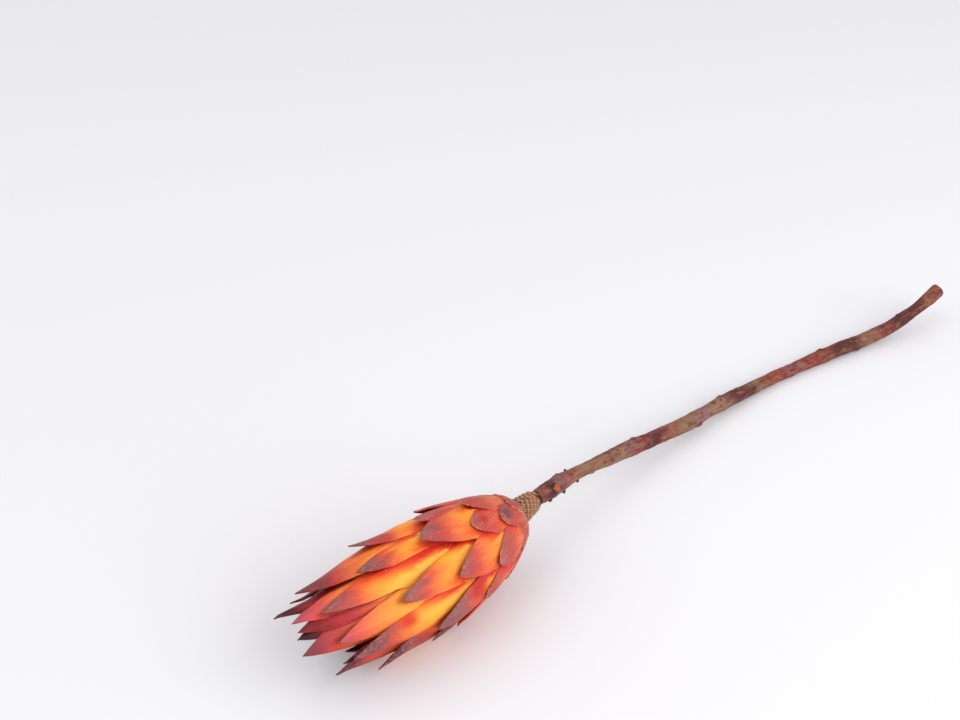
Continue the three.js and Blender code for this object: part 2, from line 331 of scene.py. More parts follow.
# Painted shade: darkest red right at the covering edges.
crevice_shade_colour = at_mouth.over(tint("c01c08"), tint("8c1018"))
colour = (crevice_distance.rise(2.2, -0.2) * (0.3 + under * 0.6)).over(colour, crevice_shade_colour)

# The bracts at the base are blotched with crimson, and streaked paler, partly where the dye has dried off
# and partly painted highlight.
low = height.rise(0.6, 0.35)
colour = (haze.rise(0.48, 0.66) * low * 0.5).over(colour, tint("b2343a"))
colour = (streaks.rise(0.56, 0.72) * low * 0.45).over(colour, tint("e89a7c"))

# Dark purple patches, the single ones, and the grey-mauve of the dry tips with its dusty spots.
patches = haze.rise(0.58, 0.4) * dusk * place.rise(1.0, 0.2) * 0.6
colour = patches.over(colour, tint("70303a"))
for number, across, back, width, patch_colour in colour_patches:
    centre = (across, back, number * sheet_step)
    distance = start.node("ShaderNodeVectorMath", {0: sheet, 1: centre}, out=1, operation="DISTANCE")
    patch = (distance + (haze - 0.5) * 2).rise(width, width * patch_core) * 0.85
    colour = patch.over(colour, tint(patch_colour))
tip_zone = fade.rise(0.30, 0.02)
dusty = tip_zone * speck.rise(0.45, 0.65) * height.rise(0.99, 0.86) * 0.4
colour = dusty.over(colour, tint("a98078"))

# The thin edge: paler along the sides, partly a pale crust and partly painted highlight where the rim
# catches the light, and burnt dark round the dry tip.
grown = height.rise(0.35, 0.6)
pale_edge = rim.rise(0.42, 0.1) * (1 - tip_zone * grown) * speck.rise(0.35, 0.6) * 0.7
colour = pale_edge.over(colour, tint("f3ab8d"))
burnt_edge = rim.rise(0.7, 0.1) * tip_zone * grown * 0.6
colour = burnt_edge.over(colour, tint("4c2226"))
# Pale specks over the bracts: partly dust and partly painted glints.
pale_speck = sheet.dots(0.42).rise(0.13, 0.05) * grain.rise(0.55, 0.62) * 0.6
colour = pale_speck.over(colour, tint("f4b79c"))
dark_speck = sheet.stretched(1, 1, 3).dots(0.55).rise(0.11, 0.04) * grain.rise(0.48, 0.4) * 0.7
colour = dark_speck.over(colour, tint("7c2a1e"))
colour = start.times(colour, 0.84 + streaks * 0.26 + grain * 0.12)
relief = streaks * 0.6 + grain * 0.35 + speck * 0.5
wire(start, shader, Base_Color=colour, Roughness=0.34 + grain * 0.22 + tip_zone * 0.14,
     Normal=start.bump(relief, 0.6))

dyed_inside, start, shader = new_finish("dyed_bract_inside", Specular_IOR_Level=0.4)
sheet = start.attribute("sheet")
place, _, rim = start.attribute("cover").parts()
height = start.attribute("growth").parts()[0]
veins = sheet.stretched(0.9, 0.08, 1).mottle(1.1, detail=4.0, roughness=0.65)
deep = place.ramp([
    (0.0, tint("2e0508")), (0.16, tint("560a10")), (0.5, tint("96150f")), (1.0, tint("b8260c"))])
open_red = place.ramp([(0.0, tint("8c3a34")), (0.3, tint("b02c1a")), (1.0, tint("cf3d10"))])
colour = height.rise(0.6, 0.85).over(open_red, deep)
colour = (veins.rise(0.4, 0.75) * 0.5).over(colour, tint("8f1a15"))
colour = (rim.rise(0.7, 0.1) * 0.4).over(colour, tint("c06a58"))
wire(start, shader, Base_Color=colour, Roughness=0.4 + veins * 0.2, Normal=start.bump(veins, 0.35))

# The bracts stand in one spiral, each a turn further round and its tip a little nearer to the mouth.
# Each is one stiff leaf, cupped, thin at its edge and sharp at its tip.
bract_count = 62
first_turn = 210.8
spiral_turn = 138.151
reach_marks = [(0, 4.4), (17, 33.6), (28, 52.1), (39, 83.2), (50, 91.9), (61, 93)]
ended_marks = [(4.4, 0), (33.6, 17), (52.1, 28), (83.2, 39), (98, 61)]
# Bracts that stand out of the spiral: mm of extra reach, degrees turned, mm lifted, and for some how
# many times wider and how many places higher in the overlap.
strays = {
    3: (0, 0, -0.7), 4: (-1.5, 0, -0.8), 6: (-1, 10, 0), 8: (0, 0, -0.9), 9: (2, -2, 0.3),
    14: (-3, -5, 0), 16: (0, 0, -0.8), 17: (0, 14, -0.2), 19: (2.5, -10, 0), 21: (0, -8, -0.7),
    22: (-2, 9, 0.4), 24: (7, -19, 0), 25: (-4, 8, -0.5),
    27: (-6, 13, 0.5, 1.2, 8), 29: (-1, -5, 0), 30: (6, -3, 3, 1.1), 32: (-3, 1, 0.3, 0.9),
    34: (4.5, 22, 2.5, 1.2), 35: (-4, -5, 0.5, 0.95), 37: (3, -6, 0), 38: (-7, 8, -0.5),
    39: (-4, 0, -1.5), 40: (0.5, 7, 0, 0.9), 41: (-4, 0, -1), 42: (1, 4, 0, 1.15),
    43: (0.5, -1, 1.8, 1.5, 8), 44: (-10, 0, -2.5), 45: (-4.5, -6, 0), 46: (-6, 0, -2.5),
    47: (-13, 6, -2.5), 48: (3, -8, 0, 1.05), 49: (-10, 0, -3.5), 50: (-9, -12, 0), 51: (-4, 0, 0),
    52: (-15, 0, -3), 53: (1, 5, 0, 1.05), 54: (-9, 0, -4), 55: (-12, -8, 0), 56: (4, 0, 0, 1.2),
    57: (-13, 0, -4), 58: (2, 2, 0, 1.15), 59: (-7, 0, -3), 60: (-17, 10, -3), 61: (1, -28, 0, 1.1),
}
bract_width = [11.5, 15, 13.5, 12.5, 11.5]
bract_taper = [7, 14, 20, 24, 25]
bract_bluntness = [0.5, 0.6, 0.75, 0.85, 0.88]
# How the bracts that differ are coloured: how much yellower, or redder where less than 0, how much red lies
# on one side, partly dye and partly painted shade, and how dusky.
bract_tones = {
    4: (-0.1, 0.2, 0.5), 6: (-0.05, 0.2, 1), 9: (0, 0.3, 0.6), 11: (-0.05, 0.2, 0.3), 14: (0, 0.3, 0.4),
    17: (-0.1, 0.5, 0.3), 19: (0, 0.4, 0.3), 22: (-0.18, 0.9, 0.5), 24: (-0.28, 1, 0.35),
    25: (-0.08, 0.8, 0.2), 27: (-0.06, 0.5, 0.5), 29: (-0.3, 0.6, 1.2), 30: (-0.2, 1, 0.3),
    32: (-0.04, 0.2, 0.4), 34: (-0.35, 0.6, 1.4), 35: (-0.1, 1, 0.7), 37: (-0.32, 0.8, 1.1),
    38: (-0.12, 1, 1), 40: (-0.15, 0.3, 0.6), 42: (-0.25, 0.5, 1.2), 43: (-0.2, 0.7, 1.1),
    45: (0, 0.2, 0), 48: (-0.06, 0.3, 0), 50: (-0.35, 0.3, 1.2), 51: (-0.2, 0.4, 1.2),
    53: (-0.2, 0.4, 1.2), 56: (-0.2, 0.4, 1.2), 58: (-0.1, 0.5, 0.5), 61: (-0.4, 0.1, 1.2),
}
taper_curve = 1.5
tip_half_width = 0.2
longest_bract = 50
length_share = 0.6
covered_length = 2
first_root_at = 0.6
layer_step = 0.16
edge_tuck = 1.25
keel_curve = 1.7
base_step_share = 0.5
full_step_reach = 40
tip_lift = 0.8
lift_length = 16
full_lift_reach = 40
least_radius = 1.2
skin_gap = 0.03
inner_count = 12
inner_step = 0.85
inner_reach = 81
inner_shortening = 0.4
inner_narrowing = 0.55
inner_lean = -2.5
inner_tone = (-0.2, 0.2, 0.9)
root_spread = 0.45
root_spread_length = 9
bract_thickness = 0.4
bract_columns = 16
bract_rows = 42
tip_crowding = 1.35
farthest_gap = 12
lean_width = 6
fade_length = 24
rim_widening = 0.1
warmth_spread = 0.2
# How fast the waves of a bract's sides and its dents, curls and creases change in each mm along it,
# for two of them also across it, how deep they are, and what sets bract apart from bract.
wave_pace = 0.22
wave_share = 0.05
wave_seed = 3.7
dent_pace = (0.16, 0.3)
dent_depth = 0.25
dent_seed = 5.3
curl_pace = 0.25
curl_depth = 0.35
curl_seed = 9.1
crease_pace = (0.09, 0.75)
crease_depth = 0.28
crease_seed = 2.7


def bract(number):
    """One bract of the spiral, with its own sizes."""
    stray = strays.get(number, ())
    longer, turned, lifted, wider, raised = stray + (0, 0, 0, 1, 0)[len(stray):]
    inner = max(0, number - bract_count + 1)
    reach = inner_reach - inner * inner_shortening if inner else along(reach_marks, number) + longer
    share = reach / bloom_length
    shrink = 1 - inner_narrowing * inner / inner_count
    return SimpleNamespace(
        number=number,
        layer=number - raised,
        reach=reach,
        sunk=inner * inner_step,
        turn=math.radians(first_turn + spiral_turn * number + turned),
        half_width=blend(bract_width, share) / 2 * shrink * wider,
        taper=blend(bract_taper, share),
        bluntness=blend(bract_bluntness, share),
        lift=inner_lean if inner else lifted + tip_lift * uneven(number) * clamp01(reach / full_lift_reach),
        length=min(reach - first_root_at, reach * length_share + covered_length, longest_bract),
    )


bracts = [bract(number) for number in range(bract_count + inner_count)]


def half_at(b, back):
    """Half of a bract's width, this far back from its tip."""
    opened = 1 - (1 - clamp01(back / b.taper)) ** taper_curve
    return max(tip_half_width, b.half_width * opened ** b.bluntness)


def gap_to_cover(b, s, angle, radius):
    """How far a place is from the bracts over it, less than 0 under one, and how far on its lower side."""
    nearest, under = farthest_gap, 0.5
    for other in bracts:
        back = other.reach - s
        if other.layer < b.layer and -farthest_gap < back < other.length:
            turn = (angle - other.turn + math.pi) % (2 * math.pi) - math.pi
            side = abs(turn) * radius
            gap = side - half_at(other, back) if back > 0 else math.hypot(back, side)
            if gap < nearest:
                nearest, under = gap, clamp01(0.5 - turn * radius / lean_width)
    return nearest, under


def bract_point(b, back, across):
    """A place on a bract in mm, back from its tip and across it from -1 to 1, with its angle."""
    s = b.reach - back
    half = half_at(b, back)
    half *= 1 + root_spread * clamp01((back - b.taper) / root_spread_length)
    wave = noise.noise(Vector((back * wave_pace, b.number * wave_seed, 2 if across > 0 else 7)))
    half *= 1 + wave_share * wave
    steady = clamp01(half / b.half_width)
    step = base_step_share + (1 - base_step_share) * clamp01(s / full_step_reach)
    covered = layer_step * step * max(0, b.layer - along(ended_marks, s)) + b.sunk
    tuck = edge_tuck * step * abs(across) ** keel_curve * half / b.half_width
    lift = b.lift * (1 - clamp01(back / lift_length)) ** 2
    dent = noise.noise(Vector((back * dent_pace[0], across * half * dent_pace[1], b.number * dent_seed)))
    curl = noise.noise(Vector((back * curl_pace, b.number * curl_seed, across))) * across ** 4
    crease_place = (back * crease_pace[0], across * half * crease_pace[1], b.number * crease_seed)
    crease = noise.noise(Vector(crease_place))
    hollow = dent_depth * min(0, dent) + curl_depth * min(0, curl) + crease_depth * min(0, crease)
    surface = bloom_radius(s) - skin_gap
    radius = max(least_radius, surface - covered - tuck + lift + steady * hollow)
    angle = b.turn + across * half / max(radius, b.half_width)
    return beside(bloom_frame(s), angle, radius), angle, half


def bract_whorl(name, numbers):
    """A piece of many bracts, each a sheet bent to its place and then given its thickness."""
    mesh = bmesh.new()
    sheet_layer = mesh.verts.layers.float_vector.new("sheet")
    cover_layer = mesh.verts.layers.float_vector.new("cover")
    growth_layer = mesh.verts.layers.float_vector.new("growth")
    tone_layer = mesh.verts.layers.float_vector.new("tone")
    lean_layer = mesh.verts.layers.float_vector.new("lean")
    for number in numbers:
        b = bracts[number]
        usual = (warmth_spread * (uneven(number) - 0.5), uneven(number, 0.37), uneven(number, 0.71))
        tone = inner_tone if number >= bract_count else bract_tones.get(number, usual)
        flat = bmesh.ops.create_grid(mesh, x_segments=bract_columns, y_segments=bract_rows, size=1)
        for vert in flat["verts"]:
            across = vert.co.x
            back = b.length * ((1 - vert.co.y) / 2) ** tip_crowding
            point, angle, half = bract_point(b, back, across)
            gap, under = gap_to_cover(b, b.reach - back, angle, bloom_radius(b.reach - back))
            rim = (1 - abs(across)) * half + rim_widening * back
            vert[sheet_layer] = (across * half, back, number * sheet_step)
            vert[cover_layer] = (back / fade_length, gap, rim)
            vert[growth_layer] = (b.reach / bloom_length, uneven(number, 0.7549), across)
            vert[tone_layer] = tone
            vert[lean_layer] = (under, 0, 0)
            vert.co = set_down(point)
    keep_rims_crisp(mesh)
    piece = made_piece(name, mesh, [dyed_face, dyed_inside])
    add_wall(piece, "bract_thickness", bract_thickness, inner_material=1)
    return piece


base_bracts = bract_whorl("base_bracts", range(0, 19))
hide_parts("bloom")
bract_whorl("middle_bracts", range(19, 42))
bract_whorl("mouth_bracts", range(42, bract_count))
bract_whorl("inner_bracts", range(bract_count, bract_count + inner_count))

# The woody head that the bracts grow from. It fills the bloom behind them and is domed inside the
# mouth, where it is covered with short dry hairs, deep red-brown with dye.
head_depth = 6.5
head_slope = 30
head_shoulder = 58
head_top = 72
head_columns = 64
head_rows = 60
end_share = 0.001
seam_gap = 0.01


def close_seams(mesh, gap):
    """Joins rolled sheets along their seams and poles, fills open ends and turns all faces outwards."""
    bmesh.ops.remove_doubles(mesh, verts=mesh.verts, dist=gap * mm)
    bmesh.ops.holes_fill(mesh, edges=[edge for edge in mesh.edges if edge.is_boundary], sides=0)
    bmesh.ops.recalc_face_normals(mesh, faces=mesh.faces)


dry_head, start, shader = new_finish("dry_seed_head", Roughness=0.85, Specular_IOR_Level=0.2)
run = start.attribute("run").parts()[0]
fuzz = start.object_place().mottle(900.0, detail=4.0, roughness=0.7)
skin = run.ramp([(0.0, tint("d08468")), (0.1, tint("cc5c40")), (0.4, tint("c03212")), (1.0, tint("7a1810"))])
colour = start.times(skin, 0.62 + fuzz * 0.6)
wire(start, shader, Base_Color=colour, Normal=start.bump(fuzz, 0.6))

mesh = bmesh.new()
run_layer = mesh.verts.layers.float_vector.new("run")
bmesh.ops.create_grid(mesh, x_segments=head_columns, y_segments=head_rows, size=1)
for vert in mesh.verts:
    share = (vert.co.y + 1) / 2
    s = head_top * math.sin(share * math.pi / 2)
    dome = clamp01((s - head_shoulder) / (head_top - head_shoulder))
    side = bloom_radius(min(s, head_shoulder)) - head_depth * clamp01(s / head_slope)
    radius = side * math.sqrt(1 - dome * dome) if share > end_share else 0
    vert[run_layer] = (s / head_top, 0, 0)
    vert.co = set_down(beside(bloom_frame(s), vert.co.x * math.pi, radius))
close_seams(mesh, seam_gap)
made_piece("seed_head", mesh, [dry_head])

# The dry styles: a tuft of stiff hair-like stalks that stand on the head and fill the mouth, straw
# to red-brown, leaning together at their tips.
style_count = 70
style_sides = 6
style_rows = 8
style_root = 60
style_tip = 82
style_tip_spread = 3
style_spread = 7.5
style_lean = 0.45
style_twist = 0.3
style_radius = 0.3
style_taper = 0.6
style_seam_gap = 0.001

dry_style, start, shader = new_finish("dry_style", Roughness=0.7, Specular_IOR_Level=0.25)
run, luck, _ = start.attribute("run").parts()
grain = start.object_place().mottle(1500.0, detail=2.0)
colour = luck.over(tint("94482c"), tint("cf9a66"))
colour = run.rise(0.75, 1.0).over(colour, tint("5a1c18"))
colour = start.times(colour, 0.8 + grain * 0.4)
wire(start, shader, Base_Color=colour)

mesh = bmesh.new()
run_layer = mesh.verts.layers.float_vector.new("run")
for number in range(style_count):
    side = math.radians(spiral_turn * number)
    place = style_spread * math.sqrt((number + 0.5) / style_count)
    tip = style_tip + style_tip_spread * uneven(number, 0.31)
    tube = bmesh.ops.create_grid(mesh, x_segments=style_sides, y_segments=style_rows, size=1)
    for vert in tube["verts"]:
        share = (vert.co.y + 1) / 2
        line = bloom_frame(style_root + (tip - style_root) * share)
        thick = style_radius * (1 - style_taper * share) if share < 1 - end_share else 0
        around = vert.co.x * math.pi
        centre = beside(line, side + style_twist * share, place * (1 - style_lean * share * share))
        offset = line.up * math.cos(around) * thick + line.aside * math.sin(around) * thick
        vert[run_layer] = (share, uneven(number, 0.53), 0)
        vert.co = set_down(centre + offset)
close_seams(mesh, style_seam_gap)
made_piece("dry_styles", mesh, [dry_style])

# The neck between the bloom and the stem. A short cone closely set with small dry scales, tan with
# pale edges, that point to the bloom and lie over each other like tiles.
joint_gap = 0.3
neck_length = 11.5
neck_top_radius = 4.4
neck_end_radius = 2.75
neck_curve = 0.5
neck_columns = 32
neck_rows = 30
neck_overrun = 0.1
neck_skin_depth = 0.35
scale_count = 96
scale_turn = 137.5
scale_span = 0.93
first_scale_root = 0.99
scale_length = 3.4
scale_width = 2.7
scale_least_size = 0.85
scale_size_spread = 0.3
scale_lift = 0.85
scale_root = 0.5
scale_cup = 0.3
scale_root_width = 0.8
scale_swell = 0.6
scale_tip_width = 0.03
scale_point = 2.4
scale_roundness = 0.8
scale_rise = 0.8
scale_thickness = 0.4
scale_columns = 6
scale_rows = 8
scale_tip_rim = 0.7
collar_count = 18
collar_reach = 0.5
collar_growth = 0.07
collar_lift = -0.1
# Places chosen on the stem's line, in mm, from the neck to the cut end. The neck's line meets it.
stem_path = [
    (-65, -2, 20.9), (-50, 1.3, 17.9), (-40, 3, 15.8), (-28, 4.2, 13.2), (-8, 5.4, 9.5),
    (18, 5.2, 6.1), (42, 6.5, 4.5), (60, 6.5, 3.3), (77, 5.8, 2.6), (94, 4, 2.55), (109, 1.8, 3.1),
    (122, -0.9, 3.6), (138, -3.7, 5.6), (152, -5.2, 9.3), (166, -5.6, 13.9),
]
stem_marks = [Vector(p) for p in stem_path]


def stem_spot(k, share):
    """A point of the smooth line through the stem's marks, between mark k and the next."""
    p1, p2 = stem_marks[k], stem_marks[k + 1]
    p0 = stem_marks[k - 1] if k > 0 else p1 * 2 - p2
    p3 = stem_marks[k + 2] if k + 2 < len(stem_marks) else p2 * 2 - p1
    knots = [0.0]
    for a, b in ((p0, p1), (p1, p2), (p2, p3)):
        knots.append(knots[-1] + math.sqrt((b - a).length))
    t0, t1, t2, t3 = knots
    t = t1 + (t2 - t1) * share
    a1 = p0.lerp(p1, (t - t0) / (t1 - t0))
    a2 = p1.lerp(p2, (t - t1) / (t2 - t1))
    a3 = p2.lerp(p3, (t - t2) / (t3 - t2))
    return a1.lerp(a2, (t - t0) / (t2 - t0)).lerp(a2.lerp(a3, (t - t1) / (t3 - t1)), (t - t1) / (t2 - t1))


steps_between = 24
tangent_steps = 2
spot_count = (len(stem_marks) - 1) * steps_between
stem_line = [stem_spot(k // steps_between, k % steps_between / steps_between) for k in range(spot_count)]
stem_line.append(stem_marks[-1])
stem_lengths = [0.0]
for near, far in zip(stem_line, stem_line[1:]):
    stem_lengths.append(stem_lengths[-1] + (far - near).length)
stem_length = stem_lengths[-1]


def stem_frame(s):
    """The stem's line this many mm from the neck."""
    k = 0
    while k < len(stem_lengths) - 2 and stem_lengths[k + 1] < s:
        k += 1
    share = (s - stem_lengths[k]) / (stem_lengths[k + 1] - stem_lengths[k])
    before = stem_line[max(0, k - tangent_steps)]
    after = stem_line[min(len(stem_line) - 1, k + 1 + tangent_steps)]
    return frame_at(stem_line[k].lerp(stem_line[k + 1], share), after - before)


bloom_ahead = (bloom_bend - bloom_base).normalized()
stem_ahead = stem_frame(0).ahead
neck_points = [
    bloom_base - bloom_ahead * joint_gap,
    bloom_base - bloom_ahead * (joint_gap + neck_length / 3),
    stem_marks[0] - stem_ahead * (joint_gap + neck_length / 3),
    stem_marks[0] - stem_ahead * joint_gap,
]


def neck_frame(share):
    """The neck's line, from the bloom at 0 to the stem at 1."""
    a, b, c, d = neck_points
    t = clamp01(share)
    left = a.lerp(b, t).lerp(b.lerp(c, t), t)
    right = b.lerp(c, t).lerp(c.lerp(d, t), t)
    return frame_at(left.lerp(right, t), right - left)


def neck_radius(share):
    """The neck's radius, from the bloom at 0 to the stem at 1."""
    return neck_top_radius + (neck_end_radius - neck_top_radius) * clamp01(share) ** neck_curve


scale_skin, start, shader = new_finish("dry_scale_skin", Specular_IOR_Level=0.3)
sheet = start.attribute("sheet")
place, luck, rim = start.attribute("cover").parts()
grain = sheet.stretched(1.5, 0.5, 1).mottle(1.6, detail=4.0, roughness=0.7)
tone = sheet.stretched(0, 0, 1).mottle(0.7, detail=1.0)
tan_skin = tone.rise(0.35, 0.65).over(tint("7c5038"), tint("a87c5c"))
# Each scale is dark at its covered root, under the tips of its neighbours: painted shade in the gaps between
# scales.
colour = place.rise(0.14, 0.42).over(tan_skin, tint("38170f"))
number_here = sheet.parts()[2]
near_stem = number_here.rise(42 * sheet_step, 6 * sheet_step)
colour = (luck.rise(0.5, 0.85) * (0.15 + near_stem * 0.6)).over(colour, tint("b8592a"))
colour = (rim.rise(0.26, 0.06) * 0.6).over(colour, tint("d0a886"))
colour = (grain.rise(0.55, 0.7) * 0.35).over(colour, tint("8f4428"))
collar = number_here.rise((scale_count - 1) * sheet_step, (scale_count - 0.5) * sheet_step)
colour = collar.over(colour, rim.rise(0.1, 0.4).over(tint("dc9a80"), tint("c4664e")))
colour = start.times(colour, 0.72 + grain * 0.5)
wire(start, shader, Base_Color=colour, Roughness=0.62 + grain * 0.2, Normal=start.bump(grain, 0.3))

# The cone under the scales is near-black brown: painted shade where it shows in the gaps between them.
neck_skin, start, shader = new_finish("neck_skin", Roughness=0.85, Specular_IOR_Level=0.2)
grain = start.object_place().mottle(700.0, detail=3.0)
colour = grain.rise(0.3, 0.7).over(tint("2e1510"), tint("5c3020"))
wire(start, shader, Base_Color=colour, Normal=start.bump(grain, 0.3))

mesh = bmesh.new()
bmesh.ops.create_grid(mesh, x_segments=neck_columns, y_segments=neck_rows, size=1)
for vert in mesh.verts:
    run = (1 - vert.co.y) / 2 * (1 + 2 * neck_overrun) - neck_overrun
    radius = neck_radius(run) - neck_skin_depth if 0 <= run <= 1 else 0
    vert.co = set_down(beside(neck_frame(run), vert.co.x * math.pi, radius))
close_seams(mesh, seam_gap)
neck_cone = made_piece("neck_cone", mesh, [neck_skin])
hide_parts("neck_scales")


def add_scale(mesh, number, line_at, surface_at, root, turn, size, lift):
    """A small pointed tile on a round body; its root is sunk, its tip lies further towards the mouth."""
    length, width = scale_length * size, scale_width * size
    sheet_layer = mesh.verts.layers.float_vector["sheet"]
    cover_layer = mesh.verts.layers.float_vector["cover"]
    flat = bmesh.ops.create_grid(mesh, x_segments=scale_columns, y_segments=scale_rows, size=1)
    for vert in flat["verts"]:
        share = (vert.co.y + 1) / 2
        back = (1 - share) * length
        spot = root + share * length
        body = surface_at(spot)
        opened = (scale_root_width + scale_swell * share) * (1 - share ** scale_point) ** scale_roundness
        half = width / 2 * max(scale_tip_width, opened)
        across = vert.co.x
        raised = (scale_root + lift) * share ** scale_rise - scale_root
        rim = min((1 - abs(across)) * half, scale_tip_rim * back)
        vert[sheet_layer] = (across * half, back, number * sheet_step)
        vert[cover_layer] = (back / length, uneven(number, 0.7549), rim)
        radius = body + raised - scale_cup * across * across
        vert.co = set_down(beside(line_at(spot), turn + across * half / body, radius))


def neck_line(spot):
    return neck_frame(-spot / neck_length)


def neck_surface(spot):
    return neck_radius(-spot / neck_length)


def scale_size(share):
    return scale_least_size + scale_size_spread * share


# The neck's own scales, and a collar of larger ones that reach on to the bloom's rounded base.
mesh = bmesh.new()
mesh.verts.layers.float_vector.new("sheet")
mesh.verts.layers.float_vector.new("cover")
for number in range(scale_count):
    root = neck_length * (scale_span * number / scale_count - first_scale_root)
    turn = math.radians(scale_turn * number)
    add_scale(mesh, number, neck_line, neck_surface, root, turn, scale_size(uneven(number)), scale_lift)
for number in range(collar_count):
    share = number / collar_count
    root = collar_reach * share
    turn = math.radians(scale_turn * number)
    size = scale_size(uneven(number, 0.37)) * (1 + collar_growth * share)
    add_scale(mesh, scale_count + number, bloom_frame, bloom_radius, root, turn, size, collar_lift)
keep_rims_crisp(mesh)
scales = made_piece("neck_scale_tiles", mesh, [scale_skin])
add_wall(scales, "scale_thickness", scale_thickness)

# The stem. A thin woody branch, cut square at its free end. Its bark is red-brown and mottled with
# tan, wrinkled lengthwise, and knobby where leaves grew; each left a scar with a dark rim.
stem_columns = 48
stem_rows = 520
cap_rows = 6
stem_seam_gap = 0.002
radius_smoothing = 1.5
# The stem's radius at places along it in mm: knobby where leaves grew, thinner between.
stem_radii = [
    (0, 2.75), (4, 3.05), (8, 3.3), (14, 3.4), (19, 2.8), (26, 2.45), (36, 2.35), (46, 2.9), (58, 3.3),
    (68, 2.9), (82, 2.95), (92, 3.3), (99, 2.6), (108, 3), (116, 2.95), (126, 2.6), (152, 2.65),
    (168, 2.95), (198, 2.9), (206, 2.7), (212, 3), (218, 2.5), (224, 2.7),
]
# Leaf scars: place along the stem in mm, and the side in degrees that each faces. A ring runs round
# the stem at each, tilted to the scar's side.
stem_scars = [
    (14, 60), (32, 190), (46, -30), (58, 20), (74, 110), (92, -110), (108, 10), (127, 150),
    (149, -70), (168, 60), (186, 200), (201, -30), (212, 100),
]
scar_half_width = 1.9
scar_half_length = 1.1
scar_height = 0.55
scar_hollow = 0.45
scar_rim_at = 0.8
scar_rim_width = 0.5
ring_height = 0.16
ring_width = 0.45
ring_tilt = 0.6
# Where the bark is dark maroon, tan, clear red or mauve: place along the stem and half the length of
# each. Lumps and wrinkles make the ends of these bands wander by some mm.
dark_bands = [(6, 2), (66, 4), (119, 7), (179, 8), (214, 10)]
tan_bands = [(33, 13), (49, 7), (83, 8), (101, 15), (129, 5), (192, 6)]
red_bands = [(20, 3), (60, 9), (74, 5), (140, 7), (160, 12), (204, 4)]
mauve_bands = [(14, 5), (52, 3), (96, 4), (150, 4)]
band_end = 1.5
lump_wander = 5
wrinkle_wander = 4
# How fast the bark's wrinkles, lumps and pits change round the stem and along it, how deep they are,
# and what sets them apart from each other.
wrinkle_pace = (3.2, 0.07)
wrinkle_depth = 0.22
wrinkle_seed = (0, 0)
lump_pace = (1.1, 0.13)
lump_depth = 0.3
lump_seed = (5, 0)
pit_pace = (5.0, 0.5)
pit_depth = 0.14
pit_seed = (9, 2)
# A face this near the stem's end that looks along the stem is part of its cut.
cut_reach = 0.05
cut_facing = 0.9


def banded(bands, s):
    """How far a place is inside one of the bands, from 0 to 1."""
    return max(clamp01(band_end - abs(s - place) / half) for place, half in bands)


def stem_radius_at(s):
    """The stem's radius, smoothed over the places it is given at."""
    near = along(stem_radii, s - radius_smoothing) + along(stem_radii, s + radius_smoothing)
    return (near + 2 * along(stem_radii, s)) / 4


def bark_noise(angle, s, pace, seed):
    """Smooth noise from -1 to 1 over the bark."""
    around = Vector((math.cos(angle), math.sin(angle), 0)) * pace[0]
    return noise.noise(around + Vector((*seed, s * pace[1])))


def scars_at(angle, s, pit):
    """How far the leaf scars and their rings raise the bark, and how dark they make it."""
    raised, darkness = 0, 0
    for place, side in stem_scars:
        turn = (angle - math.radians(side) + math.pi) % (2 * math.pi) - math.pi
        around = turn * stem_radius_at(place) / scar_half_width
        reach = math.hypot((s - place) / scar_half_length, around)
        if reach < 2:
            bowl = 1 - scar_hollow * (1 - min(1, reach * reach))
            raised += scar_height * math.exp(-reach ** 4) * bowl
            rim = math.exp(-((reach - scar_rim_at) / scar_rim_width) ** 2)
            darkness = max(darkness, clamp01(0.4 + 2 * pit) * rim)
        ring = math.exp(-((s - place - ring_tilt * math.cos(turn)) / ring_width) ** 2)
        raised += ring_height * ring
        darkness = max(darkness, 0.4 * ring * clamp01(pit * 3 + 0.5))
    return raised, darkness


bark, start, shader = new_finish("stem_bark", Specular_IOR_Level=0.35)
skin = start.attribute("bark")
scar, knob, mauve = start.attribute("marks").parts()
dark, tan, red = start.attribute("bands").parts()
blotch = skin.stretched(0.4, 0.4, 0.2).mottle(1.0, detail=4.0, roughness=0.65)
streak = skin.stretched(0.8, 0.8, 0.09).mottle(1.0, detail=3.0, distortion=0.5)
fibre = skin.stretched(1.5, 1.5, 0.2).mottle(1.0, detail=5.0, roughness=0.7)
crack = skin.stretched(1.2, 1.2, 0.12).mottle(0.9, detail=3.0, distortion=0.3)
colour = blotch.ramp([
    (0.3, tint("6e3029")), (0.44, tint("8c4438")), (0.56, tint("a25a44")), (0.68, tint("b07052")),
    (0.8, tint("bc8a66"))])
colour = (tan * streak.rise(0.3, 0.55) * 0.8).over(colour, tint("ae8260"))
colour = (tan * blotch.rise(0.46, 0.6) * 0.6).over(colour, tint("8a7c62"))
colour = (red * streak.rise(0.62, 0.4) * 0.7).over(colour, tint("a8392f"))
colour = (mauve * streak.rise(0.35, 0.5) * 0.75).over(colour, tint("9a6a72"))
colour = (dark * streak.rise(0.25, 0.5) * 0.9).over(colour, tint("4f1e22"))
stain = skin.stretched(0.42, 0.42, 0.3).mottle(1.0, detail=2.0, roughness=0.5, distortion=0.6)
colour = (stain.rise(0.54, 0.62) * 0.6).over(colour, tint("6e2a2c"))
colour = (stain.rise(0.43, 0.35) * 0.5).over(colour, tint("96794e"))
colour = (streak.rise(0.66, 0.74) * 0.7).over(colour, tint("b0302c"))
colour = (fibre.rise(0.6, 0.72) * 0.45).over(colour, tint("c79a78"))
colour = (crack.rise(0.4, 0.3) * 0.6).over(colour, tint("3a1519"))
lenticel = skin.stretched(1, 1, 0.6).dots(0.6).rise(0.2, 0.08) * blotch.rise(0.45, 0.6)
colour = (lenticel * 0.6).over(colour, tint("cf6a35"))
colour = (scar * 0.8).over(colour, tint("32141a"))
